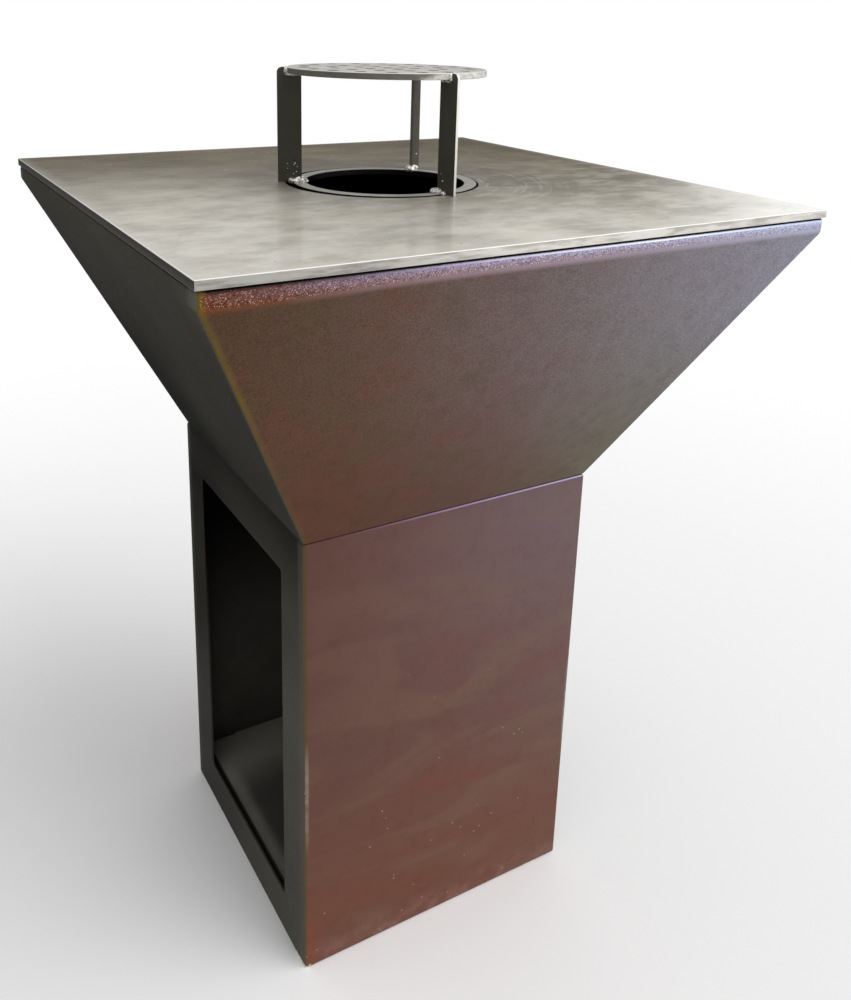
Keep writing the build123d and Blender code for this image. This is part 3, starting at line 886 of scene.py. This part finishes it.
def inner_steel():
    """Scuffed bare sheet inside the wood store, with painted shade towards its closed front and along the
    sill.
    """
    f = Finish("inner_steel")
    clouds = f.noise(0.05, detail=6, rough=0.65)
    colour = f.mix(clouds, paint(156, 152, 143), paint(186, 182, 172))
    scuffs = f.noise(0.012, detail=4, rough=0.7, stretch=(5, 1, 1))
    colour = f.mix(f.fade(scuffs, 0.6, 0.75, 0.0, 0.4), colour, paint(196, 192, 184))
    from_sill = f.minus(f.x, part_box("storage_floor")[0].x)
    # Painted shade: darker towards the closed front, less so by the sill
    front_shade = f.times(f.fade(f.y, 0.2, 0.03), f.fade(from_sill, 0.012, 0.035, 0.5, 1.0))
    colour = f.shade(colour, f.fade(front_shade, 0.0, 1.0, 1.0, 0.2))
    # Painted shadow: a dark line in the gap along the sill
    colour = f.mix(f.fade(from_sill, 0.006, 0.003, 0.0, 0.9), colour, paint(14, 13, 11))
    return f.finish(colour, 0.3, f.vary(clouds, 0.45, 0.65), f.bump(scuffs, 0.00005))


def fire_blackened_steel():
    """Steel in the fire: soot, ash dust and rusty scale."""
    f = Finish("fire_blackened_steel")
    clouds = f.noise(0.03, detail=6, rough=0.7)
    colour = f.mix(f.fade(clouds, 0.35, 0.65), paint(20, 18, 17), paint(46, 38, 33))
    ash = f.noise(0.02, detail=5, rough=0.7)
    colour = f.mix(f.fade(ash, 0.58, 0.72, 0.0, 0.5), colour, paint(112, 106, 99))
    return f.finish(colour, 0.2, 0.8, f.bump(f.noise(0.004, detail=5), 0.0004), specular=0.2)


def zinc_fasteners():
    f = Finish("zinc_fasteners")
    spangle = f.noise(0.003, detail=2)
    colour = f.mix(spangle, paint(150, 152, 152), paint(186, 188, 186))
    return f.finish(colour, 0.9, f.vary(spangle, 0.3, 0.45), f.bump(spangle, 0.00004))


def pan_sheet():
    """Galvanised ash pan, dulled by ash."""
    f = Finish("pan_sheet")
    spangle = f.noise(0.01, detail=3, rough=0.4)
    colour = f.mix(spangle, paint(112, 112, 108), paint(148, 148, 143))
    ash = f.noise(0.04, detail=5, rough=0.7)
    colour = f.mix(f.fade(ash, 0.5, 0.7, 0.0, 0.5), colour, paint(96, 91, 84))
    return f.finish(colour, 0.6, f.vary(ash, 0.4, 0.65), f.bump(spangle, 0.00005))


# Weld beads on the riser
def leg_frame(name):
    """A leg's direction from the riser's axis, the direction across it, and its inner edge's radius."""
    low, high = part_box(name)
    along = (low + high) / 2 - ring_centre
    along.z = 0
    along.normalize()
    across = Vector((-along.y, along.x, 0))
    reaches = [(vertex.co - ring_centre).dot(along) for vertex in nodes[name].data.vertices]
    return along, across, min(reaches)


def add_ball(mesh, centre, radius, flat=1.0):
    """One drop of metal, pressed flat along Z."""
    place = Matrix.Translation(centre) @ Matrix.Diagonal((radius, radius, radius * flat, 1))
    bmesh.ops.create_icosphere(mesh, subdivisions=2, radius=1, matrix=place)


def mesh_piece(name, mesh, material):
    data = bpy.data.meshes.new(name)
    mesh.to_mesh(data)
    mesh.free()
    data.shade_smooth()
    data.materials.append(material)
    piece = bpy.data.objects.new(name, data)
    bpy.context.scene.collection.objects.link(piece)
    return piece


def fuse(piece):
    """Runs a piece's drops together into one lumpy skin."""
    remesh = piece.modifiers.new("fuse", "REMESH")
    remesh.mode = "VOXEL"
    remesh.voxel_size = bead_voxel
    settle = piece.modifiers.new("settle", "SMOOTH")
    settle.iterations = bead_settling
    material = piece.data.materials[0]
    evaluated = piece.evaluated_get(bpy.context.evaluated_depsgraph_get())
    skin = bpy.data.meshes.new_from_object(evaluated)
    piece.modifiers.clear()
    piece.data = skin
    offsets = [noise.noise(vertex.co / bead_ripple_size) * bead_ripple for vertex in skin.vertices]
    normals = [vertex.normal.copy() for vertex in skin.vertices]
    for vertex, normal, offset in zip(skin.vertices, normals, offsets):
        vertex.co += normal * offset
    skin.shade_smooth()
    if not skin.materials:
        skin.materials.append(material)


def foot_welds(material):
    """Lumpy beads round the inner end of each leg, where it stands on the ring, with a small row on top."""
    chance = random.Random(foot_seed)
    mesh = bmesh.new()
    height = ring_high.z + foot_bead_lift
    rows = ((0, foot_bead_length, 1), (upper_bead_rise, upper_bead_length, upper_bead_share))
    for name in leg_names:
        along, across, inner = leg_frame(name)
        for side, (rise, length, share) in itertools.product((-1, 1), rows):
            reach = inner - foot_bead_lead + rise
            while reach < inner + length:
                offset = across * side * (leg_half + chance.uniform(0.0, foot_bead_stray))
                centre = ring_centre + along * reach + offset
                centre.z = height + rise + chance.uniform(*foot_bead_heights)
                radius = bead_radius * share * chance.uniform(*foot_bead_sizes)
                add_ball(mesh, centre, radius, foot_bead_flat)
                reach += bead_step
        for side in toe_bead_sides:
            centre = ring_centre + along * (inner - foot_bead_lead) + across * side * leg_half
            centre.z = height - toe_bead_drop
            add_ball(mesh, centre, bead_radius * chance.uniform(*toe_bead_sizes), toe_bead_flat)
    piece = mesh_piece("foot_weld_beads", mesh, material)
    fuse(piece)
    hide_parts("riser_foot_welds")
    return piece


def top_welds(material):
    """Beads under the disc on both faces of each leg, and up its rim beside the leg's upstand."""
    chance = random.Random(top_seed)
    mesh = bmesh.new()
    for name in leg_names:
        along, across = leg_frame(name)[:2]
        for side in (-1, 1):
            offset = across * side * (leg_half + top_bead_gap)
            reach = grille_radius - top_bead_length
            while reach < grille_radius:
                centre = ring_centre + along * reach + offset
                centre.z = grille_low.z - top_bead_drop
                add_ball(mesh, centre, bead_radius * chance.uniform(*top_bead_sizes), top_bead_flat)
                reach += bead_step
            height = grille_low.z + rim_bead_start
            while height < grille_high.z - rim_bead_end:
                centre = ring_centre + along * (grille_radius + top_bead_gap) + offset
                centre.z = height
                add_ball(mesh, centre, bead_radius * chance.uniform(*top_bead_sizes))
                height += bead_step
    piece = mesh_piece("top_weld_beads", mesh, material)
    fuse(piece)
    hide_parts("riser_top_welds")
    return piece


def weld_spatter(material):
    """Small beads of metal thrown on the legs' faces above the feet, most of them on the left leg."""
    chance = random.Random(spatter_seed)
    mesh = bmesh.new()
    for name in leg_names:
        along, across, inner = leg_frame(name)
        for side in (-1, 1):
            for drop in range(spatter_counts[name]):
                reach = inner + chance.uniform(*spatter_reaches)
                centre = ring_centre + along * reach + across * side * leg_half
                centre.z = ring_high.z + chance.uniform(*spatter_heights)
                add_ball(mesh, centre, chance.uniform(*spatter_sizes))
    return mesh_piece("weld_spatter", mesh, material)


# Eased edges on the plain bars and plates
def merged_normals():
    """Joins the CAD faces at their edges, sharp past an angle, so that the edges can be eased."""
    tree = bpy.data.node_groups.new("merged_normals", "GeometryNodeTree")
    tree.interface.new_socket("Geometry", in_out="INPUT", socket_type="NodeSocketGeometry")
    tree.interface.new_socket("Geometry", in_out="OUTPUT", socket_type="NodeSocketGeometry")
    start = tree.nodes.new("NodeGroupInput")
    end = tree.nodes.new("NodeGroupOutput")
    merge = tree.nodes.new("GeometryNodeMergeByDistance")
    merge.inputs["Distance"].default_value = merge_distance
    angle = tree.nodes.new("GeometryNodeInputMeshEdgeAngle")
    sharp = tree.nodes.new("FunctionNodeCompare")
    sharp.operation = "GREATER_THAN"
    sharp.inputs[1].default_value = sharp_angle
    normals = tree.nodes.new("GeometryNodeSetMeshNormal")
    normals.inputs["Remove Custom"].default_value = True
    tree.links.new(start.outputs[0], merge.inputs["Geometry"])
    tree.links.new(merge.outputs[0], normals.inputs["Mesh"])
    tree.links.new(angle.outputs[0], sharp.inputs[0])
    tree.links.new(sharp.outputs[0], normals.inputs["Edge Sharpness"])
    tree.links.new(normals.outputs[0], end.inputs[0])
    return tree


def ease_edges():
    tree = merged_normals()
    for name, width in eased.items():
        merge = nodes[name].modifiers.new("merge", "NODES")
        merge.node_group = tree
        bevel = nodes[name].modifiers.new("ease", "BEVEL")
        bevel.width = width
        bevel.segments = eased_segments
        bevel.limit_method = "ANGLE"
        bevel.angle_limit = sharp_angle
        bevel.harden_normals = True


# The whole scene
def dress(finishes):
    """Every CAD node takes the finish of its own material slot."""
    for node in nodes.values():
        slot = node.data.materials[0].name
        node.data.materials[0] = finishes[slot]


makers = (
    copper_coat,
    dark_coat,
    griddle_steel,
    mill_scale_steel,
    grille_steel,
    weld_metal,
    inner_steel,
    fire_blackened_steel,
    zinc_fasteners,
    pan_sheet,
)

make_camera()
make_world()
make_sun()
make_surround()
make_floor()
finishes = {maker.__name__: maker() for maker in makers}
dress(finishes)
ease_edges()
for make_piece in (foot_welds, top_welds, weld_spatter):
    piece = make_piece(finishes["weld_metal"])
    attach(piece, "riser")

bpy.context.scene.view_settings.view_transform = "Standard"
